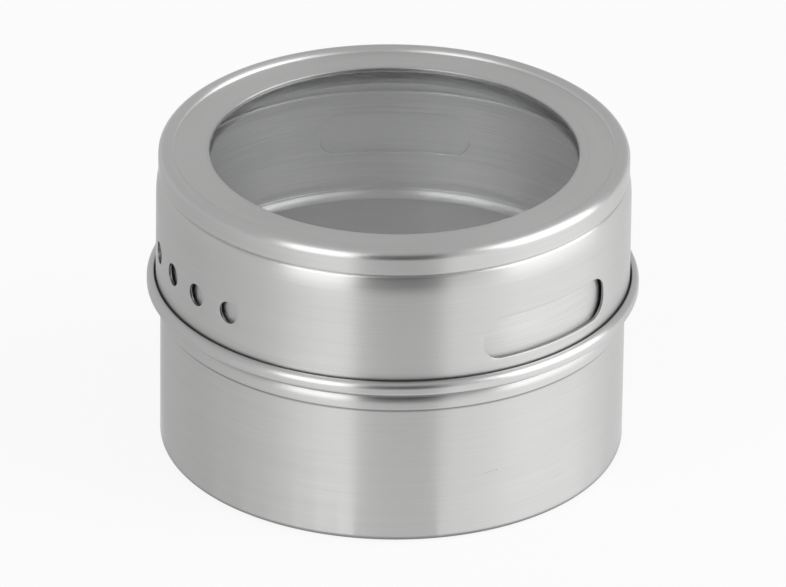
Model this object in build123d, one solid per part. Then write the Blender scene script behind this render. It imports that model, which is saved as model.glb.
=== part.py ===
from build123d import *
import math
import os

# A small round spice tin of brushed steel sheet. A drawn cup carries a neck ring, and a
# lid with a clear window turns on the neck. Turned one way the lid's slot meets the
# opening in the neck and the tin pours; turned the other way its holes meet it and the
# tin sprinkles. Millimetres, +Z up, the origin in the middle of the base. The front,
# between the holes and the slot, faces -Y.

# Metal sheet and fits
sheet = 0.4             # thickness of every formed steel piece
fit = 0.02              # radial fit of pieces that are pressed together
slip = 0.06             # clearance of pieces that lie against each other and may turn
crease_round = 0.02     # outside rounding of a tight crease
overrun = 1.0           # how far a cutter reaches past the sheet it cuts

# Cup: wall, stepped mouth and rolled flange
cup_radius = 32.5       # outside of the wall
base_corner = 1.0       # rounding from the wall to the base
step_height = 20.8      # where the mouth steps out to take the neck ring
band_height = 1.42      # upright part of the stepped mouth, to its shoulder
shoulder_rise = 0.54    # shoulder of the mouth, up to the crease under the flange
shoulder_depth = 0.28   # how far that shoulder draws in
shoulder_round = 2.2
flange_reach = 1.9      # the flange's edge outside the cup wall
flange_edge_rise = 1.2  # the flange's lower edge above the crease
flange_edge_round = 0.4
flange_depth = 1.66     # from the flange's lower edge to its top
flange_round = 1.0      # the upper rounding of the flange, which curls in round the skirt

# Neck ring: seated in the stepped mouth, drawn in behind the cup's crease, then standing
# up inside the lid nearly in line with the cup's wall
neck_inset = 0.05       # the neck stands this much inside the cup's outside
foot_height = 0.6       # upright foot in the stepped mouth
waist_gap = 0.08        # between the crease and the neck's waist behind it
waist_height = 0.45
waist_taper = 3.5       # height over which the neck widens again above its waist
lip_width = 0.98        # the foot's edge turned in and down, from the foot's outside
lip_drop = 0.9
lip_slope = 0.45        # the slant between the seat and the lip
lip_round = 0.6
lip_top_round = 0.2
neck_rise = 16.0        # top of the neck above the step's seat
rim_draw = 0.3          # the neck's top edge draws in slightly and steers the lid
rim_draw_height = 1.8

# Lid shell: skirt, shoulder, crease and the raised ring round the window
lid_gap = 0.25          # between the neck and the skirt
skirt_flare = 0.055     # the skirt's edge is this much wider than its upper part
skirt_gap = 0.25        # the skirt's edge above the floor of the flange
seam_gap = 0.225        # between the skirt and the flange's rim
side_height = 12.78     # from the flange's top to where the lid's side starts to lean in
lean_depth = 0.37       # how far the side leans in up to the shoulder
lean_height = 2.7
lean_round = 24.0
crease_depth = 0.36     # from the shoulder in to the crease
crease_rise = 0.3
lid_shoulder_round = 1.0
ring_reach = 0.43       # the ring stands out again above the crease
ring_rise = 0.22
ring_edge_round = 0.15
ring_height = 3.38      # the ring's outer side, up to the top of the lid
ring_round = 1.2
ring_crown = 1.89       # width of the raised rounded edge of the ring
crown_slope = 0.35      # width of its inner slope
crown_drop = 0.6        # the flat inner part of the ring lies this much lower
crown_round = 0.9
crown_foot_round = 0.2
ring_width = 7.1        # from the ring's outside to the clear opening
window_edge = 0.9       # height of the folded edge round the window
window_edge_round = 0.44
window_fold = 1.8       # width of the edge folded back under the ring

# Window pieces under the ring
pane_setback = 2.6      # the pane's edge inside the ring's outside
pane_thickness = 0.8
retainer_width = 3.74   # flat part of the ring that holds the pane
retainer_lip = 1.3      # its upturned edge
retainer_round = 0.6

# Openings for the spice
pour_chord = 21.4       # opening in the neck, straight across
pour_height = 6.3
pour_corner = 2.75
pour_drop = 3.5         # top of the opening below the neck's rim
slot_margin = 0.45      # the lid's slot is wider than that opening at each end
hole_diameter = 3.2
hole_count = 4
hole_rise = 0.55        # the holes' middles above the middle of the slot

# Turned positions of the openings, in degrees from the front, clockwise from above
# being negative
neck_opening_angle = 180.0
slot_angle = 41.85
holes_angle = -60.9
hole_pitch = 11.9

# Magnet in the hollow of the base
recess_radius = 22.0
recess_depth = 1.9
recess_flank = 0.6      # slope of the recess wall, measured across
recess_round = 0.5
magnet_gap = 1.5        # between the magnet and the recess wall
magnet_thickness = 1.5
tape_thickness = 0.2


def offset_corners(points, distance):
    """Move an open outline to its left by a distance, keeping its corners sharp."""
    normals = []
    for (r0, z0), (r1, z1) in zip(points, points[1:]):
        length = math.hypot(r1 - r0, z1 - z0)
        normals.append(((z0 - z1) / length, (r1 - r0) / length))
    before = [normals[0]] + normals
    after = normals + [normals[-1]]
    moved = []
    for (r, z), (ar, az), (br, bz) in zip(points, before, after):
        share = distance / (1 + ar * br + az * bz)
        moved.append((r + (ar + br) * share, z + (az + bz) * share))
    return moved


def turns_left(a, b, c):
    return (b[0] - a[0]) * (c[1] - b[1]) > (b[1] - a[1]) * (c[0] - b[0])


def formed_sheet(corners, thickness):
    """Revolve formed sheet about Z. Each corner is (radius, height, rounding) on one
    face of the sheet, walked with the metal on its left. A corner with no rounding is
    pressed sharp on both faces; any other keeps the sheet's thickness round the bend."""
    points = [(r, z) for r, z, rounding in corners]
    roundings = [rounding for r, z, rounding in corners[1:-1]]
    back = []
    for a, b, c, rounding in zip(points, points[1:], points[2:], roundings):
        change = -thickness if turns_left(a, b, c) else thickness
        back.append(max(rounding + change, 0) if rounding else 0)
    other = offset_corners(points, thickness)
    face_line = FilletPolyline(*[(r, 0, z) for r, z in points], radius=roundings)
    back_line = FilletPolyline(*[(r, 0, z) for r, z in other], radius=back)
    ends = [Line(face_line @ end, back_line @ end) for end in (0, 1)]
    return revolve(make_face([face_line, back_line] + ends), Axis.Z)


def disc(radius, thickness, base):
    return Pos(0, 0, base) * extrude(Circle(radius), thickness)


def towards(angle, radius, height):
    """A plane on a drum of that radius, facing out, turned from the front."""
    a = math.radians(angle)
    out = (math.sin(a), -math.cos(a), 0)
    side = (math.cos(a), math.sin(a), 0)
    return Plane(origin=(out[0] * radius, out[1] * radius, height), x_dir=side, z_dir=out)


def slot_cutter(angle, radius, height, width):
    reach = radius - sheet - overrun
    shape = RectangleRounded(width, pour_height, pour_corner)
    sagitta = radius - math.sqrt(radius ** 2 - (width / 2) ** 2)
    plane = towards(angle, reach - sagitta, height)
    return extrude(plane * shape, sagitta + sheet + 2 * overrun)


def hole_cutter(angle, radius, height):
    plane = towards(angle, radius - sheet - overrun, height)
    return extrude(plane * Circle(hole_diameter / 2), sheet + 2 * overrun)


# Places that follow from the sizes above
neck_radius = cup_radius - neck_inset
lid_radius = neck_radius + lid_gap + sheet
skirt_radius = lid_radius + skirt_flare
magnet_radius = recess_radius - magnet_gap
band_radius = cup_radius + sheet
crease_radius = band_radius - shoulder_depth
crease_height = step_height + band_height + shoulder_rise
flange_radius = cup_radius + flange_reach
flange_low = crease_height + flange_edge_rise
flange_top = flange_low + flange_depth
rim_radius = skirt_radius + seam_gap
flange_slope = flange_edge_rise / (flange_radius - crease_radius)
flange_floor = crease_height + (skirt_radius - crease_radius) * flange_slope
flange_floor += sheet * math.hypot(1, flange_slope)

seat_height = step_height + sheet
foot_radius = band_radius - sheet - fit
foot_top = seat_height + foot_height
waist_radius = crease_radius - sheet - waist_gap
waist_top = crease_height + waist_height
neck_top = seat_height + neck_rise
pour_middle = neck_top - pour_drop - pour_height / 2
hole_middle = pour_middle + hole_rise

skirt_low = flange_floor + skirt_gap
lean_start = flange_top + side_height
shoulder_radius = lid_radius - lean_depth
shoulder_height = lean_start + lean_height
lid_crease_radius = shoulder_radius - crease_depth
lid_crease_height = shoulder_height + crease_rise
ring_radius = lid_crease_radius + ring_reach
ring_low = lid_crease_height + ring_rise
lid_top = ring_low + ring_height
crown_inner = ring_radius - ring_crown
flat_outer = crown_inner - crown_slope
flat_height = lid_top - crown_drop
window_radius = ring_radius - ring_width
fold_low = flat_height - window_edge
fold_radius = window_radius + window_fold

pane_radius = ring_radius - pane_setback
pane_top = fold_low - slip
pane_low = pane_top - pane_thickness
retainer_radius = ring_radius - sheet - slip
retainer_low = pane_low - slip - sheet


def make_tin_cup():
    return formed_sheet([
        (0, recess_depth, 0),
        (recess_radius, recess_depth, recess_round),
        (recess_radius + recess_flank, 0, recess_round),
        (cup_radius, 0, base_corner),
        (cup_radius, step_height, 0),
        (band_radius, step_height, 0),
        (band_radius, step_height + band_height, shoulder_round),
        (crease_radius, crease_height, crease_round),
        (flange_radius, flange_low, flange_edge_round),
        (flange_radius, flange_top, flange_round),
        (rim_radius, flange_top, 0),
    ], sheet)


def make_neck_ring():
    lip_inner = foot_radius - lip_width
    ring = formed_sheet([
        (lip_inner, seat_height - lip_drop, 0),
        (lip_inner, seat_height - lip_slope, lip_round),
        (lip_inner + lip_slope, seat_height, lip_top_round),
        (foot_radius, seat_height, 0),
        (foot_radius, foot_top, 0),
        (waist_radius, crease_height, 0),
        (waist_radius, waist_top, 0),
        (neck_radius, waist_top + waist_taper, 0),
        (neck_radius, neck_top - rim_draw_height, 0),
        (neck_radius - rim_draw, neck_top, 0),
    ], sheet)
    return ring - slot_cutter(neck_opening_angle, neck_radius, pour_middle, pour_chord)


def make_lid_shell():
    shell = formed_sheet([
        (skirt_radius, skirt_low, 0),
        (lid_radius, lean_start, lean_round),
        (shoulder_radius, shoulder_height, lid_shoulder_round),
        (lid_crease_radius, lid_crease_height, crease_round),
        (ring_radius, ring_low, ring_edge_round),
        (ring_radius, lid_top, ring_round),
        (crown_inner, lid_top, crown_round),
        (flat_outer, flat_height, crown_foot_round),
        (window_radius, flat_height, window_edge_round),
        (window_radius, fold_low, window_edge_round),
        (fold_radius, fold_low, 0),
    ], sheet)
    slot_width = pour_chord + 2 * slot_margin
    shell -= slot_cutter(slot_angle, lid_radius, pour_middle, slot_width)
    for k in range(hole_count):
        angle = holes_angle + (k - (hole_count - 1) / 2) * hole_pitch
        shell -= hole_cutter(angle, lid_radius, hole_middle)
    return shell


def make_window_pane():
    return disc(pane_radius, pane_thickness, pane_low)


def make_window_seal():
    """Flat ring beside the folded edge, between the lid's ring and the pane."""
    height = flat_height - sheet - pane_top
    return disc(pane_radius, height, pane_top) - disc(fold_radius + slip, height, pane_top)


def make_window_retainer():
    return formed_sheet([
        (retainer_radius - retainer_width, retainer_low, 0),
        (retainer_radius, retainer_low, retainer_round),
        (retainer_radius, retainer_low + retainer_lip, 0),
    ], sheet)


def make_base_magnet():
    return disc(magnet_radius, magnet_thickness, recess_depth - tape_thickness - magnet_thickness)


def make_magnet_tape():
    return disc(magnet_radius, tape_thickness, recess_depth - tape_thickness)


parts = {
    "tin_cup": make_tin_cup,
    "neck_ring": make_neck_ring,
    "lid_shell": make_lid_shell,
    "window_pane": make_window_pane,
    "window_seal": make_window_seal,
    "window_retainer": make_window_retainer,
    "base_magnet": make_base_magnet,
    "magnet_tape": make_magnet_tape,
}

os.makedirs("parts", exist_ok=True)
for name, make in parts.items():
    export_step(make(), f"parts/{name}.step")
print("outer diameter", 2 * flange_radius, "height", lid_top)
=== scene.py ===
# %% [markdown]
# # A round spice tin of brushed steel
# This lesson dresses a small spice tin: a drawn steel cup, a neck ring inside it, and a lid with a clear
# window that turns on the neck. The construction is already settled and packed, so we load it first and
# treat it as a fixed frame. Everything we add is in metres, in that same frame: +Z is up, the middle of
# the base is the origin, and -Y is the front, between the small holes and the long slot.

# %% Load the frame
import math

import bmesh
import bpy
from mathutils import Matrix, Vector


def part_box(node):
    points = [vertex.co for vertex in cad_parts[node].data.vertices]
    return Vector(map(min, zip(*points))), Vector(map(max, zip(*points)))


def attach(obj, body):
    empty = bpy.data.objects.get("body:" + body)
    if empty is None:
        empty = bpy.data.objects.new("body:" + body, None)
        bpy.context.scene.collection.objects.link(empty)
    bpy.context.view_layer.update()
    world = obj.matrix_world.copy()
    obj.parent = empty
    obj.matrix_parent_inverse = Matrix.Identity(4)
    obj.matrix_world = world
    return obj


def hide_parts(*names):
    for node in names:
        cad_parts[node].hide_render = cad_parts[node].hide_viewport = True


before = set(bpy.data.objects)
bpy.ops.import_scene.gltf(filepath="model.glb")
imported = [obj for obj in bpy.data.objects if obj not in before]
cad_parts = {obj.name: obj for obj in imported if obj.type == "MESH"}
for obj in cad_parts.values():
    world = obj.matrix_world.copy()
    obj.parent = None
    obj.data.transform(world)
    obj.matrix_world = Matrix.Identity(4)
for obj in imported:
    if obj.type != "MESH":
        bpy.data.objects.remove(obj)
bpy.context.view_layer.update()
MM = 0.001

# %% [markdown]
# ## The camera
# The photograph was taken from above the front with a long lens, so the circles of the tin are nearly
# true ellipses. A near camera with a wide lens could show the tin as large, but its base would look
# smaller than its lid. So we stand far away with a narrow angle. The camera aims at a point on the tin's
# axis, half way up, is rolled by less than a degree, and is shifted by a few pixels, so that the aim
# lands where it does in the picture.

# %% Camera
picture_width = 786
aim_height = 22.08 * MM
camera_elevation = 27.49
camera_distance = 1.4536
camera_roll = math.radians(0.72)
camera_shift = Vector((0.37, -1.76)) / picture_width
lens_length = 475.9
sensor_width = 36.0
near_clip = 0.01


def outwards(azimuth, elevation=0.0):
    """A direction away from the tin in degrees: azimuth turns from the front to the right."""
    a, e = math.radians(azimuth), math.radians(elevation)
    return Vector((math.sin(a) * math.cos(e), -math.cos(a) * math.cos(e), math.sin(e)))


def aimed_at_tin(out, distance):
    """The place and turn of a camera or a lamp that looks back along a direction at the aim."""
    place = Matrix.Translation(Vector((0, 0, aim_height)) + out * distance)
    return place @ out.to_track_quat("Z", "Y").to_matrix().to_4x4()


camera = bpy.data.objects.new("camera", bpy.data.cameras.new("camera"))
bpy.context.scene.collection.objects.link(camera)
bpy.context.scene.camera = camera
camera.data.sensor_width = sensor_width
camera.data.lens = lens_length
camera.data.shift_x, camera.data.shift_y = camera_shift
camera.data.clip_start = near_clip
view = aimed_at_tin(outwards(0, camera_elevation), camera_distance)
camera.matrix_world = view @ Matrix.Rotation(camera_roll, 4, "Z")
print("camera", [round(v, 3) for v in camera.matrix_world.translation], "lens", camera.data.lens)

# %% [markdown]
# ## Shader sums in Python
# Node trees are hard to read as long lists of links. A small class that wraps one socket lets us write
# sums as plain expressions, such as `1 - mask * 0.5`, and each operator adds its Math node. Any other
# node comes from one method: it sets the node's settings first, then fills its inputs with values or
# with other sockets.

# %% The socket class
def in_use(sockets, name):
    """The socket of that name that isn't hidden; Mix and noise nodes keep spare ones."""
    return next(s for s in sockets if s.enabled and name in ("", s.name))


class Shade:
    """One output of a shader node, ready for sums."""

    def __init__(self, tree, output=None):
        self.tree = tree
        self.output = output

    def node(self, kind, settings=None, inputs=None, out=""):
        made = self.tree.nodes.new(kind)
        for key, value in (settings or {}).items():
            setattr(made, key, value)
        for key, value in (inputs or {}).items():
            socket = made.inputs[key] if isinstance(key, int) else in_use(made.inputs, key)
            if isinstance(value, Shade):
                self.tree.links.new(value.output, socket)
            else:
                socket.default_value = value
        outputs = [s for s in made.outputs if s.enabled]
        return Shade(self.tree, in_use(outputs, out)) if outputs else None

    def math(self, operation, first, second=0.0):
        return self.node("ShaderNodeMath", {"operation": operation}, {0: first, 1: second})

    def split(self):
        made = self.node("ShaderNodeSeparateXYZ", inputs={"Vector": self})
        return [Shade(self.tree, s) for s in made.output.node.outputs]

    def __add__(self, other):
        return self.math("ADD", self, other)

    def __sub__(self, other):
        return self.math("SUBTRACT", self, other)

    def __rsub__(self, other):
        return self.math("SUBTRACT", other, self)

    def __mul__(self, other):
        return self.math("MULTIPLY", self, other)

    def __truediv__(self, other):
        return self.math("DIVIDE", self, other)

    def __pow__(self, other):
        return self.math("POWER", self, other)

    __radd__ = __add__
    __rmul__ = __mul__


def new_material(name):
    """An empty node material, and the paint to fill it with."""
    material = bpy.data.materials.new(name)
    material.use_nodes = True
    material.node_tree.nodes.clear()
    return material, Shade(material.node_tree)


print("shader class ready")

# %% [markdown]
# ## Floor
# The picture has a plain white ground. More light on the scene would make the floor white, but would
# bleach the tin too. So the floor is part diffuse, which takes the tin's soft shadow, and part emission
# that only the camera, glossy and clear rays see: it is white in the picture and in the metal, and adds
# no light to the tin. Light Path tells the shader which kind of ray has arrived.

# %% Floor
floor_size = 6.0
floor_white = (0.93, 0.93, 0.93, 1)
floor_glow_share = 0.86
white = (1, 1, 1, 1)


def seen_by(paint, *kinds):
    """One for rays of these kinds, zero for the others."""
    rays = paint.node("ShaderNodeLightPath")
    outputs = rays.output.node.outputs
    found = [Shade(paint.tree, in_use(outputs, f"Is {kind} Ray")) for kind in kinds]
    return paint.math("MINIMUM", sum(found), 1.0)


def floor_material():
    material, paint = new_material("white_ground")
    mask = seen_by(paint, "Camera", "Glossy", "Transmission")
    matt = paint.node("ShaderNodeBsdfDiffuse", inputs={"Color": floor_white})
    glow = paint.node("ShaderNodeEmission", inputs={"Color": white, "Strength": 1.0})
    mixed = paint.node("ShaderNodeMixShader", inputs={0: mask * floor_glow_share, 1: matt, 2: glow})
    paint.node("ShaderNodeOutputMaterial", inputs={"Surface": mixed})
    return material


def stage_piece(bm, name, material):
    """Turns a bmesh into a piece of the stage, which no body of the tin carries."""
    mesh = bpy.data.meshes.new(name)
    bm.to_mesh(mesh)
    bm.free()
    mesh.materials.append(material)
    made = bpy.data.objects.new(name, mesh)
    bpy.context.scene.collection.objects.link(made)
    return made


def stage_sheet(name, width, height, matrix, material):
    """A flat sheet, made in the XY plane and placed by its matrix."""
    bm = bmesh.new()
    bmesh.ops.create_grid(bm, x_segments=1, y_segments=1, size=0.5)
    bmesh.ops.scale(bm, vec=(width, height, 1), verts=bm.verts)
    bmesh.ops.transform(bm, matrix=matrix, verts=bm.verts)
    return stage_piece(bm, name, material)


floor = stage_sheet("floor", floor_size, floor_size, Matrix.Identity(4), floor_material())
print("floor", floor_size, "m")

# %% [markdown]
# ## World
# A studio with pale walls gives light from every side. The world stands for those walls: white where the
# camera looks past the floor, or through the window, and a middle grey for all other rays. A picture of
# a real room would light the metal with things that aren't there, so one grey is the better choice.

# %% World
room_grey = (0.56, 0.56, 0.56, 1)

world = bpy.data.worlds.new("soft_room")
bpy.context.scene.world = world
world.use_nodes = True
world.node_tree.nodes.clear()
paint = Shade(world.node_tree)
mask = seen_by(paint, "Camera", "Transmission")
room = paint.node("ShaderNodeBackground", inputs={"Color": room_grey, "Strength": 1.0})
open_white = paint.node("ShaderNodeBackground", inputs={"Color": white, "Strength": 1.0})
mixed = paint.node("ShaderNodeMixShader", inputs={0: mask, 1: room, 2: open_white})
paint.node("ShaderNodeOutputWorld", inputs={"Surface": mixed})
bpy.context.scene.view_settings.view_transform = "Standard"
print("room grey", room_grey[0])

# %% [markdown]
# ## Soft boxes
# Two large soft boxes light the tin, one on each side of the camera. Their reflections are the two broad
# bright bands on the walls, so their directions and widths follow from where those bands begin and end.
# A point lamp would give one thin streak, while a flat lamp has a size that the metal can show.

# %% Soft boxes
box_elevation = 26
box_distance = 0.9
box_height = 0.85


def softbox(name, azimuth, width, radiance):
    """A flat lamp that faces the tin. A lamp of power P and area A has a radiance of P / (pi A)."""
    lamp = bpy.data.lights.new(name, "AREA")
    lamp.shape = "RECTANGLE"
    lamp.size = width
    lamp.size_y = box_height
    lamp.energy = radiance * math.pi * width * box_height
    made = bpy.data.objects.new(name, lamp)
    bpy.context.scene.collection.objects.link(made)
    made.matrix_world = aimed_at_tin(outwards(azimuth, box_elevation), box_distance)


softbox("left_box", azimuth=-34, width=0.55, radiance=1.7)
softbox("right_box", azimuth=80, width=0.95, radiance=1.8)

# %% [markdown]
# ## Dark cards
# Metal has hardly a colour of its own: it shows what stands round it. Photographers put up dark cards
# between their lamps to draw the dark bands that make a tin look round. Painting such bands on the
# metal would be wrong as soon as the tin turns, so we put up cards as well. A card glows with its own
# grey, whatever the light, and is hidden from the camera, from shadows and from diffuse light.

# %% Cards
def card_material(name, grey):
    material, paint = new_material(name)
    glow = paint.node("ShaderNodeEmission", inputs={"Color": (grey, grey, grey, 1), "Strength": 1.0})
    paint.node("ShaderNodeOutputMaterial", inputs={"Surface": glow})
    return material


def hide_from(made, *rays):
    for ray in rays:
        setattr(made, f"visible_{ray}", False)


def card(name, azimuth, distance, width, low, high, grey):
    """An upright card in front of the tin, seen in its metal and through its window."""
    matrix = (
        Matrix.Translation(outwards(azimuth) * distance + Vector((0, 0, (low + high) / 2)))
        @ Matrix.Rotation(math.radians(azimuth), 4, "Z")
        @ Matrix.Rotation(math.radians(90), 4, "X")
    )
    made = stage_sheet(name, width, high - low, matrix, card_material(name, grey))
    hide_from(made, "camera", "diffuse", "shadow")
    return made


card("front_card", azimuth=3.2, distance=0.2, width=0.14, low=0, high=0.22, grey=0.02)
high_card = card("high_card", azimuth=4.5, distance=0.25, width=0.18, low=0.26, high=0.62, grey=0.08)
hide_from(high_card, "glossy")
print("upright cards placed")

# %% [markdown]
# ## Wedges on the floor
# The walls of the tin reflect the floor in front of them, and in the photograph that floor isn't even: it
# is darker towards the sides and behind. Wedges of card that lie on the floor give each side its grey. A
# dark disc just under the tin is a painted contact shadow: the metal shows it on the last line before it
# meets the floor.

# %% Wedges and contact disc
wall_radius = 33.1 * MM
card_rise = 0.05 * MM
contact_radius = 33.0 * MM
painted_shadow_grey = 0.38
contact_steps = 96
near_reach = 0.166
near_wedge = (-18, 24, 0.74)
far_reach = 0.6
far_wedges = [(-165, -100, 0.56), (-100, -80, 0.61), (-80, -64, 0.67), (-64, -50, 0.71),
              (-50, -38, 0.77), (-38, -26, 0.86), (112, 132, 0.90), (132, 165, 0.80)]


def floor_wedge(name, start, end, grey, reach):
    """A wedge on the floor that is only seen in the metal. The eye's line along +Y leaves a wall that
    faces half an azimuth at the whole azimuth, so each side of the wedge starts at such a place."""
    bm = bmesh.new()
    rise = Vector((0, 0, card_rise))
    sides = []
    for azimuth in (start, end):
        near = outwards(azimuth / 2) * wall_radius + rise
        sides.append([bm.verts.new(near), bm.verts.new(near + outwards(azimuth) * reach)])
    (a, b), (c, d) = sides
    bm.faces.new([a, b, d, c])
    made = stage_piece(bm, name, card_material(name, grey))
    hide_from(made, "camera", "diffuse", "shadow", "transmission")


floor_wedge("front_wedge", *near_wedge, near_reach)
for start, end, grey in far_wedges:
    floor_wedge(f"wedge_{start}", start, end, grey, far_reach)

# Painted shadow: a dark disc under the tin, seen only in the metal, stands for the contact shadow.
bm = bmesh.new()
bmesh.ops.create_circle(bm, radius=contact_radius, segments=contact_steps, cap_ends=True,
                        matrix=Matrix.Translation((0, 0, 2 * card_rise)))
contact = stage_piece(bm, "painted_shadow_disc", card_material("painted_shadow_disc", painted_shadow_grey))
hide_from(contact, "camera", "diffuse", "shadow", "transmission")
print("wedges placed", 1 + len(far_wedges))

# %% [markdown]
# ## Sheet metal
# The cup, the neck ring, the lid and the window's retainer are all sheet, 0.4 mm thick, drawn to a round
# shape. A cylinder that is pushed and scaled would get the outline, but neither the sheet's thickness
# nor its bends. Spinning a section about the axis gives both. We draw one face of the sheet as a few
# corner points, lay the other face a sheet's thickness beside it, round each corner with a vertex bevel,
# and let spin sweep the section round. Real bends keep the sheet's thickness, so the other face's
# rounding is larger or smaller by that thickness.

# %% Lines beside lines
sheet = 0.4 * MM
cut_edge_round = 0.12 * MM
weld = 1e-4 * MM


def beside(line, distance):
    """The same line of corners, moved to its left by a distance."""
    sides = [(b - a).normalized() for a, b in zip(line, line[1:])]
    lefts = [Vector((-d.y, d.x)) for d in sides]
    pairs = zip(line, lefts[:1] + lefts, lefts + lefts[-1:])
    return [p + (a + b) * (distance / (1 + a.dot(b))) for p, a, b in pairs]


def back_rounding(a, b, c, rounding):
    """Rounding on the other face of the sheet at a bend: smaller where the metal is inside it."""
    turns_left = (b - a).cross(c - b) > 0
    return max(rounding - sheet, 0) if turns_left else rounding + sheet


print("sheet", round(sheet / MM, 2), "mm")

# %% [markdown]
# ## From a section to a ring
# A vertex bevel rounds one corner of a wire. It wants to know how much of each side it may take, which
# follows from the radius and from how sharply the wire turns. A finer step costs faces all round the
# tin, so an arc gets one step for every 11 degrees or less, and the tin 240 steps round.

# %% Section and spin
arc_step = math.radians(11)
most_of_side = 0.98
round_steps = 240
column = 2 * math.pi / round_steps


def round_corner(bm, corner, radius):
    """Rounds a corner of a wire to a radius, as far as its sides allow."""
    a, b = [edge.other_vert(corner).co - corner.co for edge in corner.link_edges]
    turn = math.pi - a.angle(b)
    reach = min(radius * math.tan(turn / 2), most_of_side * a.length, most_of_side * b.length)
    if reach > weld:
        steps = max(2, math.ceil(turn / arc_step))
        bmesh.ops.bevel(bm, geom=[corner], offset=reach, affect="VERTICES", segments=steps,
                        profile=0.5, material=-1)


def draw_section(bm, corners):
    """Draws the closed section of a formed sheet in the XZ plane. A corner is (radius, height,
    rounding), on the face that has the metal on its left."""
    front = [Vector((r, z)) for r, z, rounding in corners]
    other = beside(front, sheet)
    roundings = [rounding for r, z, rounding in corners]
    bends = zip(front, front[1:], front[2:], roundings[1:-1])
    backs = [back_rounding(a, b, c, k) if k else 0 for a, b, c, k in bends]
    roundings[0] = roundings[-1] = cut_edge_round
    loop = front + other[::-1]
    loop_roundings = roundings + [cut_edge_round] + backs[::-1] + [cut_edge_round]
    verts = [bm.verts.new((p.x, 0, p.y)) for p in loop]
    on_axis = front[0].x < weld
    ends = verts[1:] + verts[:1]
    for a, b in list(zip(verts, ends))[: -1 if on_axis else None]:
        bm.edges.new((a, b))
    for vert, rounding in zip(verts, loop_roundings):
        if rounding and len(vert.link_edges) == 2:
            round_corner(bm, vert, rounding)


def spin_round(bm, start=0.0):
    """Sweeps a section about Z. Start turns the grid's columns, measured from the front."""
    turn = Matrix.Rotation(start - math.pi / 2, 3, "Z")
    bmesh.ops.rotate(bm, cent=(0, 0, 0), matrix=turn, verts=bm.verts)
    bmesh.ops.spin(bm, geom=bm.verts[:] + bm.edges[:], cent=(0, 0, 0), axis=(0, 0, 1),
                   angle=2 * math.pi, steps=round_steps, use_merge=True)
    bmesh.ops.remove_doubles(bm, verts=bm.verts, dist=weld)
    bmesh.ops.recalc_face_normals(bm, faces=bm.faces)


print("round steps", round_steps, "column", round(math.degrees(column), 2), "degrees")

# %% [markdown]
# ## From a bmesh to a piece
# Each piece stands for one node of the construction, whose mesh it hides, and rides on that node's body.
# Smooth shading alone would smear light over the flat faces beside small roundings. Sharp edges by
# angle, with a Weighted Normal modifier, keep the flats flat and cost no faces.

# %% Finish a piece
sharp_angle = math.radians(38)


def finish_piece(bm, name, body, node, material):
    """Turns a bmesh into a piece that rides on its body and stands for its node."""
    open_edges = sum(not edge.is_manifold for edge in bm.edges)
    volume = bm.calc_volume() / MM ** 3
    mesh = bpy.data.meshes.new(name)
    bm.to_mesh(mesh)
    bm.free()
    mesh.shade_smooth()
    mesh.set_sharp_from_angle(angle=sharp_angle)
    mesh.materials.append(material)
    piece = bpy.data.objects.new(name, mesh)
    bpy.context.scene.collection.objects.link(piece)
    flats = piece.modifiers.new("flats", "WEIGHTED_NORMAL")
    flats.mode = "FACE_AREA_WITH_ANGLE"
    flats.keep_sharp = True
    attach(piece, body)
    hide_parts(node)
    print(name, "faces", len(mesh.polygons), "volume", round(volume, 1), "mm3", "open edges", open_edges)


print("sharp above", round(math.degrees(sharp_angle)), "degrees")

# %% [markdown]
# ## Lines that run round the tin
# Brushed steel has fine scratches that run round the tin, as it turned against the belt. An image would
# need UVs on every piece. Noise drawn out along the turn needs only the place of each point: its
# direction from the axis, its height and its radius. Stretching the direction a little and the height
# a lot turns round blots into long thin lines.

# %% Patterns round the axis
axis_guard = 1e-8
pattern_radius = 33 * MM


def round_place(paint):
    """Places for patterns that run round the tin: a direction from the axis, the height, the radius."""
    place = paint.node("ShaderNodeTexCoord", out="Object")
    x, y, z = place.split()
    radius = (x * x + y * y + axis_guard) ** 0.5
    return x / radius, y / radius, z, radius


def streaks(paint, around, across):
    """Noise drawn out into lines round the tin: around is their length, across their width."""
    cosine, sine, height, radius = round_place(paint)
    turn = pattern_radius / around
    place = paint.node("ShaderNodeCombineXYZ", inputs={"X": cosine * turn, "Y": sine * turn,
                                                      "Z": height / across})
    return paint.node("ShaderNodeTexNoise", {"noise_dimensions": "4D"},
                      {"Vector": place, "W": radius / across, "Scale": 1.0, "Detail": 2.0,
                       "Roughness": 0.6}, out="Fac")


print("patterns ready")

# %% [markdown]
# ## Painted shade in corners, painted highlights on edges, and scratches
# Little light gets into a crease or a seam, and some edges catch a thin line of light; here both are
# painted into the steel's colour, as painted shade and painted highlights. Baking such shade needs a
# second pass, and the shader's own occlusion node is lost in an export. Every crease on a round tin is a
# ring, though, so we take the distance to that ring and darken the colour near it, or lighten it for a
# painted highlight. The few stray scratches on the cup are short lines laid on its wall in the same way.

# %% Rings and marks
def painted_ring_shade_and_highlight(paint, rings):
    """A colour factor that falls near rings round the axis, which is painted shade, or rises where the
    depth is below zero, which is a painted highlight. A ring is (radius, height, reach, depth)."""
    cosine, sine, height, radius = round_place(paint)
    factor = 1.0
    for ring_r, ring_z, reach, depth in rings:
        across, up = radius - ring_r, height - ring_z
        near = 1.0 - ((across * across + up * up) ** 0.5) / reach
        factor = factor * (1.0 - paint.math("MAXIMUM", near, 0.0) * depth)
    return factor


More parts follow.
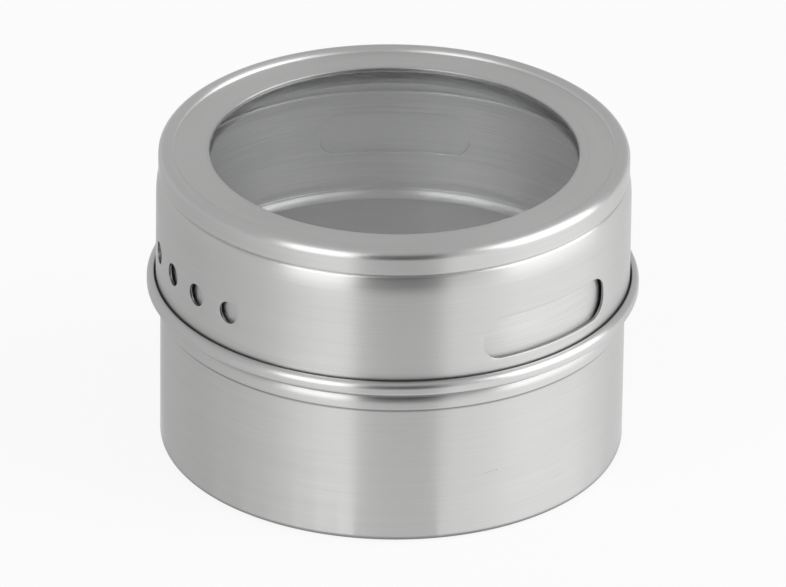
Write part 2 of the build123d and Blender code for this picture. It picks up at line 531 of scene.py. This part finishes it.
def scratches(paint, marks):
    """A factor that falls along short lines. A mark is (degrees from the front, height, half length,
    half width, slope in degrees, depth), its sizes in mm."""
    cosine, sine, height, radius = round_place(paint)
    turned = paint.math("ARCTAN2", cosine, sine * -1.0)
    factor = 1.0
    for angle, mark_z, half_length, half_width, slope, depth in marks:
        a, s = math.radians(angle), math.radians(slope)
        along, up = (turned - a) * radius, height - mark_z * MM
        u = paint.math("ABSOLUTE", along * math.cos(s) + up * math.sin(s)) / (half_length * MM)
        v = paint.math("ABSOLUTE", up * math.cos(s) - along * math.sin(s)) / (half_width * MM)
        near = paint.math("MAXIMUM", 1.0 - u * u, 0.0) * paint.math("MAXIMUM", 1.0 - v, 0.0)
        factor = factor * (1.0 - near * depth)
    return factor


print("rings and marks ready")

# %% [markdown]
# ## Which way a face looks
# The inside of the tin is duller than the outside, because nobody brushes it, and its walls also get
# painted light: their colour is lighter. The cut edges of the openings get painted shade. Separate
# materials for such faces would need them picked one by one. The object's own normal tells them apart: it
# points at the axis inside, and neither in nor out on a cut edge.

# %% Inner walls and cut edges
inward_gain = 4.0
inward_bias = 2.6
sideways_gain = 2.0
skirt_inner = 32.6 * MM
skirt_top = 40 * MM


def outward_part(paint):
    """How far a face looks away from the axis: one on an outer wall, minus one on an inner wall."""
    nx, ny, nz = paint.node("ShaderNodeTexCoord", out="Normal").split()
    cosine, sine, height, radius = round_place(paint)
    return nx * cosine + ny * sine, height, radius


def faces_axis(paint):
    """One on walls that look towards the axis, zero on slopes and on faces that look away."""
    outward, height, radius = outward_part(paint)
    inward = outward * -inward_gain - inward_bias
    return paint.math("MINIMUM", paint.math("MAXIMUM", inward, 0.0), 1.0)


def cut_edges(paint):
    """One on the cut edges of the skirt's openings: they face neither out nor in."""
    outward, height, radius = outward_part(paint)
    sideways = paint.math("MAXIMUM", 1.0 - paint.math("ABSOLUTE", outward) * sideways_gain, 0.0)
    in_skirt = paint.math("GREATER_THAN", radius, skirt_inner)
    return sideways * in_skirt * paint.math("LESS_THAN", height, skirt_top)


print("face tests ready")

# %% [markdown]
# ## Brushed steel
# Now the steel itself. It is metal with a middling roughness. Light spreads across the scratches and
# hardly along them, which is what the shader's anisotropy does: it turns each lamp into an upright band.
# The fine lines vary the colour, the roughness and, through a shallow bump, the surface. Broader lines
# keep the wall from looking like print. Only the plain numbers differ from piece to piece, so one
# function serves the cup, the neck, the lid and the retainer.

# %% Steel
steel_colour = (0.66, 0.66, 0.655)
line_length, line_width = 14 * MM, 0.16 * MM
band_length, band_width = 40 * MM, 1.4 * MM
band_tone = 0.08
line_rough = 0.10
band_rough = 0.06
brush_turn = 0.25
brushed_depth = 0.0005 * MM


def brushed_steel(name, roughness, anisotropy, line_depth=brushed_depth, line_tone=0.16,
                  inner_rough=0.0, inner_painted_light=0.0, cut_edge_painted_shade=0.0, rings=(), marks=()):
    material, paint = new_material(name)
    fine = streaks(paint, line_length, line_width) - 0.5
    broad = streaks(paint, band_length, band_width) - 0.5
    inner = faces_axis(paint)
    shade = fine * line_tone + broad * band_tone + 1.0
    # Painted shade and highlights from the rings, real scratches, and painted light that lightens the
    # inner walls.
    shade = shade * painted_ring_shade_and_highlight(paint, rings) * scratches(paint, marks) * (inner * inner_painted_light + 1.0)
    # Painted shade on the cut edges of the openings.
    if cut_edge_painted_shade:
        shade = shade * (1.0 - cut_edges(paint) * cut_edge_painted_shade)
    tone = paint.node("ShaderNodeVectorMath", {"operation": "SCALE"},
                      {"Vector": steel_colour, "Scale": shade})
    rough = roughness + fine * line_rough + broad * band_rough + inner * inner_rough
    bump = paint.node("ShaderNodeBump", inputs={"Height": fine, "Distance": line_depth, "Strength": 1.0})
    steel = paint.node("ShaderNodeBsdfPrincipled",
                       inputs={"Base Color": tone, "Metallic": 1.0, "Roughness": rough,
                               "Anisotropic": anisotropy, "Anisotropic Rotation": brush_turn,
                               "Normal": bump})
    paint.node("ShaderNodeOutputMaterial", inputs={"Surface": steel})
    return material


print("steel colour", steel_colour)

# %% [markdown]
# ## The cup's sizes
# The cup is one drawn sheet: a hollow in the base for the magnet, a straight wall, a step at the mouth
# that takes the neck ring, a crease, and a rolled flange that the lid stands on. The construction gives
# its width and height. We measure the rest down from the flange's top, as the eye reads it.

# %% Cup sizes
flange_radius, _, flange_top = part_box("tin_cup")[1]
cup_radius = flange_radius - 1.9 * MM
band_radius = cup_radius + sheet
crease_radius = band_radius - 0.28 * MM
flange_low = flange_top - 1.66 * MM
crease_height = flange_low - 1.2 * MM
band_top = crease_height - 0.54 * MM
step_height = band_top - 1.42 * MM
recess_radius = 22.0 * MM
recess_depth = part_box("magnet_tape")[1].z
recess_flank = 0.6 * MM
skirt_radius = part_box("lid_shell")[1].x
rim_radius = skirt_radius + 0.225 * MM
print("cup", round(cup_radius / MM, 2), "step", round(step_height / MM, 2), "mm")

# %% [markdown]
# ## The cup
# The rings paint shade into the steel's colour at the foot of the wall, the step, the crease, under the
# flange and at the seam beside the lid. The section then runs from the middle of the base up the outside,
# with its metal on the left. It is closed on the axis, so its two end points there need no edge between
# them.

# %% Cup
recess_round = 0.5 * MM
base_round = 1.0 * MM
step_round = 0.08 * MM
band_round = 0.2 * MM
band_bend = 2.2 * MM
crease_round = 0.02 * MM
flange_bend = 0.4 * MM
flange_roll = 0.9 * MM

# Painted shade: the steel's colour is darker near each of these rings.
cup_painted_shade_rings = [
    (cup_radius - 0.4 * MM, 0.1 * MM, 0.9 * MM, 0.25),
    (cup_radius, step_height - 0.25 * MM, 0.3 * MM, 0.6),
    (crease_radius - 0.02 * MM, crease_height + 0.04 * MM, 0.5 * MM, 0.25),
    (crease_radius + 0.88 * MM, crease_height + 0.64 * MM, 1.0 * MM, 0.75),
    (rim_radius - 0.08 * MM, flange_top - 0.12 * MM, 0.35 * MM, 0.5),
]
cup_marks = [
    (24.7, 9.6, 1.7, 0.07, 10, 0.30),
    (26.7, 9.71, 0.12, 0.1, 0, 0.6),
    (29.1, 9.7, 0.8, 0.08, -5, 0.12),
    (45.6, 5.66, 1.5, 0.08, 6, 0.12),
]
# The cup's inner walls get painted light: their colour is a little lighter.
cup_steel = brushed_steel("cup_brushed_steel", roughness=0.34, anisotropy=0.75, inner_rough=0.12,
                          inner_painted_light=0.1, rings=cup_painted_shade_rings, marks=cup_marks)

bm = bmesh.new()
draw_section(bm, [
    (0, recess_depth, 0),
    (recess_radius, recess_depth, recess_round),
    (recess_radius + recess_flank, 0, recess_round),
    (cup_radius, 0, base_round),
    (cup_radius, step_height, step_round),
    (band_radius, step_height, band_round),
    (band_radius, band_top, band_bend),
    (crease_radius, crease_height, crease_round),
    (flange_radius, flange_low, flange_bend),
    (flange_radius, flange_top, flange_roll),
    (rim_radius, flange_top, 0),
])
spin_round(bm)
finish_piece(bm, "cup", "tin", "tin_cup", cup_steel)

# %% [markdown]
# ## Openings in a spun wall
# The neck has one opening, and the lid has a slot and four holes. A Boolean would cut them, but it
# leaves long thin faces that catch the light, and a cut edge without a rounding. So we take a patch of
# the grid out of both faces of the wall and lay a clean outline in each gap. Then we bridge patch to
# outline on both faces, and outline to outline through the sheet, and bevel the cut edge. The outlines
# are drawn flat, in the XZ plane, and are bent round the wall afterwards.

# %% Outlines
corner_steps = 7


def outline_slot(bm, width, height, corner, cuts):
    """A rounded rectangle as a wire, its long sides cut as finely as the grid."""
    w, h = width / 2, height / 2
    verts = [bm.verts.new(p) for p in ((-w, 0, -h), (w, 0, -h), (w, 0, h), (-w, 0, h))]
    for pair in zip(verts, verts[1:] + verts[:1]):
        bm.edges.new(pair)
    for vert in verts:
        bmesh.ops.bevel(bm, geom=[vert], offset=corner, affect="VERTICES", segments=corner_steps,
                        profile=0.5, material=-1)
    sides = [e for e in bm.edges if e.is_wire and e.calc_length() > width / 2]
    bmesh.ops.subdivide_edges(bm, edges=sides, cuts=cuts - 1)


def outline_hole(bm, diameter, steps):
    """A circle as a wire."""
    upright = Matrix.Rotation(math.radians(90), 4, "X")
    bmesh.ops.create_circle(bm, radius=diameter / 2, segments=steps, cap_ends=False, matrix=upright)


print("outlines ready")

# %% [markdown]
# ## Cutting through the sheet
# The patch is found by its angle from the front, its height and its depth under the wall's outer face.
# The lid's wall flares a little, so the wall's radius is a function of height. The bridges join loops
# that have different numbers of points, which is why the patch is kept close to the outline.

# %% Cut an opening
cut_round = 0.05 * MM
cut_steps = 2


def from_front(point):
    return math.atan2(point.x, -point.y)


def cut_opening(bm, draw, angle, height, wall, columns, low, high):
    """Cuts what draw outlines through both faces of a spun wall, centred on an angle and a height."""
    half = columns / 2 * column

    def depth(point):
        return wall(point.z) - Vector((point.x, point.y)).length

    def in_patch(face):
        middle = face.calc_center_median()
        off = (from_front(middle) - angle + math.pi) % (2 * math.pi) - math.pi
        return abs(off) < half and low < middle.z < high and abs(depth(middle) - sheet / 2) < sheet

    bmesh.ops.delete(bm, geom=[f for f in bm.faces if in_patch(f)], context="FACES")
    borders = [e for e in bm.edges if e.is_boundary]
    loops = []
    for inset in (0, sheet):
        draw(bm)
        loop = [e for e in bm.edges if e.is_wire]
        for v in {v for e in loop for v in e.verts}:
            z = height + v.co.z
            radius = wall(z) - inset
            turned = angle + math.asin(v.co.x / radius)
            v.co = (radius * math.sin(turned), -radius * math.cos(turned), z)
        patch = [e for e in borders if abs(depth(e.verts[0].co) - inset) < sheet / 2]
        bmesh.ops.bridge_loops(bm, edges=patch + loop)
        loops += loop
    bmesh.ops.bridge_loops(bm, edges=loops)
    bmesh.ops.bevel(bm, geom=loops, offset=cut_round, affect="EDGES", segments=cut_steps, profile=0.5,
                    material=-1)
    bmesh.ops.recalc_face_normals(bm, faces=bm.faces)


print("cutting tool ready")

# %% [markdown]
# ## The neck's sizes
# The neck is a second sheet ring, seated in the step of the cup's mouth. Its foot is turned in and down,
# which is the bright ledge that the window shows. Above the foot it is drawn in behind the cup's crease,
# and then runs up, nearly in line with the cup's wall, for the lid to turn on.

# %% Neck sizes
neck_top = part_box("neck_ring")[1].z
neck_radius = cup_radius - 0.05 * MM
seat_height = step_height + sheet
foot_radius = cup_radius - 0.02 * MM
foot_top = seat_height + 0.6 * MM
waist_radius = crease_radius - sheet - 0.08 * MM
waist_top = crease_height + 0.45 * MM
taper_top = waist_top + 3.5 * MM
lip_inner = foot_radius - 0.98 * MM
lip_slope = 0.45 * MM
lip_low = seat_height - 0.9 * MM
rim_draw = 0.3 * MM
rim_draw_low = neck_top - 1.8 * MM

pour_width = 21.4 * MM
pour_height = 6.3 * MM
pour_corner = 2.75 * MM
pour_middle = neck_top - 3.5 * MM - pour_height / 2
pour_columns = 20
patch_columns = 28
patch_margin = 0.4 * MM
patch_low = pour_middle - pour_height / 2 - patch_margin
patch_high = pour_middle + pour_height / 2 + patch_margin
patch_rows = 7
row_height = (patch_high - patch_low) / patch_rows
print("neck", round(neck_radius / MM, 2), "opening at", round(pour_middle / MM, 2), "mm")

# %% [markdown]
# ## The neck ring
# The rows of corner points beside the opening add nothing to the form. They give the wall rings of faces
# there, so that the patch that we take out ends close to the opening. The rim's top edge gets a painted
# highlight: its colour is lighter there.

# %% Neck ring
lip_bend = 0.6 * MM
lip_round = 0.2 * MM
foot_round = 0.9 * MM
waist_bend = 0.4 * MM
taper_bend = 20.0 * MM
rim_bend = 2.0 * MM
neck_opening_angle = math.pi


def neck_wall(z):
    return neck_radius


def pour_outline(bm):
    outline_slot(bm, pour_width, pour_height, pour_corner, pour_columns)


# Painted highlight: a lighter colour along the top of the neck's rim.
neck_painted_highlight_rings = [(neck_radius - 0.5 * MM, neck_top, 0.45 * MM, -0.35)]
# The neck's inner walls get painted light: their colour is lighter.
neck_steel = brushed_steel("neck_drawn_steel", roughness=0.34, anisotropy=0.9, line_tone=0.36,
                           inner_rough=0.16, inner_painted_light=0.28, rings=neck_painted_highlight_rings)

bm = bmesh.new()
draw_section(bm, [
    (lip_inner, lip_low, 0),
    (lip_inner, seat_height - lip_slope, lip_bend),
    (lip_inner + lip_slope, seat_height, lip_round),
    (foot_radius, seat_height, foot_round),
    (foot_radius, foot_top, waist_bend),
    (waist_radius, crease_height, waist_bend),
    (waist_radius, waist_top, waist_bend),
    (neck_radius, taper_top, taper_bend),
    *[(neck_radius, patch_low + k * row_height, 0) for k in range(patch_rows + 1)],
    (neck_radius, rim_draw_low, rim_bend),
    (neck_radius - rim_draw, neck_top, 0),
])
spin_round(bm, neck_opening_angle)
cut_opening(bm, pour_outline, neck_opening_angle, pour_middle, neck_wall, patch_columns, patch_low,
            patch_high)
finish_piece(bm, "neck", "tin", "neck_ring", neck_steel)

# %% [markdown]
# ## The lid's sizes
# The lid's side is nearly straight, leans in at its top and ends in a shoulder. A crease parts it from
# the raised ring. The ring's flat top falls a little towards the window, where the sheet folds down and
# back out under the ring. The slot is a little wider than the neck's opening, so that it never hides a
# part of it when the two meet.

# %% Lid sizes
lid_low, lid_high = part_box("lid_shell")
skirt_low = lid_low.z
lid_top = lid_high.z
skirt_flare = 0.055 * MM
lid_radius = skirt_radius - skirt_flare
lean_start = flange_top + 12.78 * MM
shoulder_radius = lid_radius - 0.37 * MM
shoulder_height = lean_start + 2.7 * MM
lid_crease_radius = shoulder_radius - 0.36 * MM
lid_crease_height = shoulder_height + 0.3 * MM
ring_radius = lid_crease_radius + 0.43 * MM
ring_low = lid_crease_height + 0.22 * MM
crown_inner = ring_radius - 1.89 * MM
flat_outer = crown_inner - 0.35 * MM
flat_height = lid_top - 0.6 * MM
window_radius = ring_radius - 7.1 * MM
window_fold = 1.8 * MM
fold_low = flat_height - 0.9 * MM
print("lid", round(lid_radius / MM, 2), "window", round(window_radius / MM, 2), "mm")

# %% [markdown]
# ## Where the openings go
# All angles are measured from the front, to the right. The slot and the holes lie on both sides of it,
# so that the same lid pours one way and sprinkles the other way. The rows give the wall a face edge at
# each height that the holes' patches need.

# %% Slot and holes
slot_width = pour_width + 0.9 * MM
slot_angle = math.radians(41.85)
hole_count = 4
hole_diameter = 3.2 * MM
hole_steps = 40
hole_columns = 6
hole_middle = pour_middle + 0.55 * MM
hole_row_pitch = 1.2 * MM
hole_rows = [hole_middle + k * hole_row_pitch for k in range(-2, 3)]
holes_angle = math.radians(-60.9)
hole_pitch = math.radians(11.9)
hole_angles = [holes_angle + (k - (hole_count - 1) / 2) * hole_pitch for k in range(hole_count)]


def lid_wall(z):
    """Radius of the lid's side at a height: it flares slightly down to the skirt's edge."""
    return lid_radius + skirt_flare * (lean_start - z) / (lean_start - skirt_low)


def slot_outline(bm):
    outline_slot(bm, slot_width, pour_height, pour_corner, pour_columns)


def hole_outline(bm):
    outline_hole(bm, hole_diameter, hole_steps)


print("holes at", [round(math.degrees(a), 1) for a in hole_angles], "degrees")

# %% [markdown]
# ## The lid
# The rings paint shade into the steel's colour at the seam at the skirt's edge, the crease under the
# raised ring, the foot of the ring's crown and the face of the fold, and one paints a highlight on the
# window's edge. Large bend radii on the side let its lean begin so softly that no line shows.

# %% Lid shell
lean_inset = 0.02 * MM
lean_low = lean_start - 1.0 * MM
lean_high = lean_start + 1.05 * MM
shoulder_inset = 0.07 * MM
shoulder_rise = 0.05 * MM
lean_low_bend = 24.0 * MM
lean_high_bend = 8.0 * MM
shoulder_bend = 0.45 * MM
ring_bend = 0.15 * MM
ring_crown = 1.2 * MM
crown_bend = 0.9 * MM
flat_bend = 0.2 * MM
window_bend = 0.22 * MM
fold_bend = 0.44 * MM

# Painted shade near the seams and the fold, and a painted highlight at the window's edge.
lid_painted_shade_and_highlight_rings = [
    (skirt_radius + 0.045 * MM, flange_top - 0.07 * MM, 0.35 * MM, 0.5),
    (ring_radius - 0.1 * MM, ring_low - 0.02 * MM, 0.2 * MM, 0.2),
    (flat_outer + 0.14 * MM, flat_height + 0.05 * MM, 0.2 * MM, 0.25),
    (window_radius - 0.05 * MM, flat_height - 0.32 * MM, 0.62 * MM, 0.7),
    (window_radius + 0.15 * MM, flat_height + 0.02 * MM, 0.3 * MM, -0.3),
]
# The lid's inner walls get painted light, and its cut edges painted shade.
lid_steel = brushed_steel("lid_brushed_steel", roughness=0.34, anisotropy=0.75, inner_rough=0.2,
                          inner_painted_light=0.5, cut_edge_painted_shade=0.75, rings=lid_painted_shade_and_highlight_rings)

bm = bmesh.new()
draw_section(bm, [
    (skirt_radius, skirt_low, 0),
    *[(lid_wall(z), z, 0) for z in (patch_low, *hole_rows, patch_high)],
    (lid_radius, lean_low, lean_low_bend),
    (lid_radius - lean_inset, lean_high, lean_high_bend),
    (shoulder_radius - shoulder_inset, shoulder_height + shoulder_rise, shoulder_bend),
    (lid_crease_radius, lid_crease_height, crease_round),
    (ring_radius, ring_low, ring_bend),
    (ring_radius, lid_top, ring_crown),
    (crown_inner, lid_top, crown_bend),
    (flat_outer, flat_height, flat_bend),
    (window_radius, flat_height, window_bend),
    (window_radius, fold_low, fold_bend),
    (window_radius + window_fold, fold_low, 0),
])
spin_round(bm, slot_angle)
cut_opening(bm, slot_outline, slot_angle, pour_middle, lid_wall, patch_columns, patch_low, patch_high)
for hole_angle in hole_angles:
    cut_opening(bm, hole_outline, hole_angle, hole_middle, lid_wall, hole_columns, hole_rows[0],
                hole_rows[-1])
finish_piece(bm, "lid_steel_shell", "lid", "lid_shell", lid_steel)

# %% [markdown]
# ## Clear, soft and dark finishes
# The pane is clear, with a faint haze from use. Alpha could fade it out, but only a shader that lets
# light through also bends it and reflects the room, so its transmission is full and its roughness is
# near zero and varies a little. The seal, the magnet and the tape are matt, each with a grain of its own
# size in its colour, its roughness and its surface. One function makes those three.

# %% Window finish
pane_colour = (0.97, 0.98, 0.98, 1)
haze_scale = 60.0
haze_rough = 0.03


def clear_window():
    material, paint = new_material("clear_window")
    place = paint.node("ShaderNodeTexCoord", out="Object")
    haze = paint.node("ShaderNodeTexNoise", inputs={"Vector": place, "Scale": haze_scale, "Detail": 3.0},
                      out="Fac")
    pane = paint.node("ShaderNodeBsdfPrincipled",
                      inputs={"Base Color": pane_colour, "Roughness": haze * haze_rough,
                              "IOR": 1.46, "Transmission Weight": 1.0})
    paint.node("ShaderNodeOutputMaterial", inputs={"Surface": pane})
    return material


window_finish = clear_window()
print("window finish", window_finish.name)

# %% Matt finishes
grain_rough = 0.1


def grained(name, colour, roughness, grain, grain_size, grain_depth):
    """A matt finish with a fine grain in its colour, its roughness and its surface."""
    material, paint = new_material(name)
    place = paint.node("ShaderNodeTexCoord", out="Object")
    speck = paint.node("ShaderNodeTexNoise", inputs={"Vector": place, "Scale": 1 / grain_size,
                                                    "Detail": 3.0}, out="Fac")
    tone = paint.node("ShaderNodeVectorMath", {"operation": "SCALE"},
                      {"Vector": colour, "Scale": (speck - 0.5) * grain + 1.0})
    bump = paint.node("ShaderNodeBump", inputs={"Height": speck, "Distance": grain_depth, "Strength": 1.0})
    skin = paint.node("ShaderNodeBsdfPrincipled",
                      inputs={"Base Color": tone, "Roughness": roughness + (speck - 0.5) * grain_rough,
                              "Normal": bump})
    paint.node("ShaderNodeOutputMaterial", inputs={"Surface": skin})
    return material


seal_finish = grained("seal_silicone", (0.82, 0.82, 0.80), roughness=0.45, grain=0.04,
                      grain_size=2 * MM, grain_depth=0.004 * MM)
magnet_finish = grained("magnet_ferrite", (0.06, 0.055, 0.05), roughness=0.6, grain=0.5,
                        grain_size=0.3 * MM, grain_depth=0.01 * MM)
tape_finish = grained("tape_foam", (0.85, 0.85, 0.82), roughness=0.9, grain=0.08,
                      grain_size=0.2 * MM, grain_depth=0.02 * MM)
print("matt finishes", [m.name for m in (seal_finish, magnet_finish, tape_finish)])

# %% [markdown]
# ## Plain discs and rings
# The pane, its seal, the magnet and the tape are cut or moulded blocks without a bend. A cylinder with a
# bevel would do, but the section tools already round and spin a wire, and they give the same columns as
# the rest of the tin. Each block takes its size from its node. The seal's inner edge leaves the window's
# fold a little room.

# %% Window, magnet and tape
fold_slip = 0.06 * MM
pane_round = 0.12 * MM
magnet_round = 0.2 * MM
tape_round = 0.03 * MM


def spin_block(node, inner, edge_round):
    """A plain ring or disc with rounded edges, as large as its node."""
    low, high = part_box(node)
    bm = bmesh.new()
    corners = [(inner, low.z), (high.x, low.z), (high.x, high.z), (inner, high.z)]
    verts = [bm.verts.new((r, 0, z)) for r, z in corners]
    pairs = list(zip(verts, verts[1:] + verts[:1]))
    for a, b in pairs[: None if inner else -1]:
        bm.edges.new((a, b))
    for vert in verts:
        if len(vert.link_edges) == 2:
            round_corner(bm, vert, edge_round)
    spin_round(bm)
    return bm


pane = spin_block("window_pane", 0, pane_round)
finish_piece(pane, "pane", "lid", "window_pane", window_finish)
seal = spin_block("window_seal", window_radius + window_fold + fold_slip, pane_round)
finish_piece(seal, "seal", "lid", "window_seal", seal_finish)
magnet = spin_block("base_magnet", 0, magnet_round)
finish_piece(magnet, "magnet", "tin", "base_magnet", magnet_finish)
tape = spin_block("magnet_tape", 0, tape_round)
finish_piece(tape, "tape", "tin", "magnet_tape", tape_finish)

# %% [markdown]
# ## The window's retainer
# A pressed ring holds the pane up against the seal. It is a flat ring with an upturned edge, in the same
# sheet as the rest, so it comes from three corner points and the section tools. It was pressed and never
# brushed, so its lines are deeper and its shine has less direction.

# %% Retainer
retainer_width = 3.74 * MM
retainer_bend = 0.6 * MM
pressed_depth = 0.001 * MM

retainer_steel = brushed_steel("retainer_pressed_steel", roughness=0.4, anisotropy=0.4,
                               line_depth=pressed_depth)
retainer_low, retainer_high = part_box("window_retainer")
retainer_radius = retainer_high.x
bm = bmesh.new()
draw_section(bm, [
    (retainer_radius - retainer_width, retainer_low.z, 0),
    (retainer_radius, retainer_low.z, retainer_bend),
    (retainer_radius, retainer_high.z, 0),
])
spin_round(bm)
finish_piece(bm, "retainer", "window_ring", "window_retainer", retainer_steel)
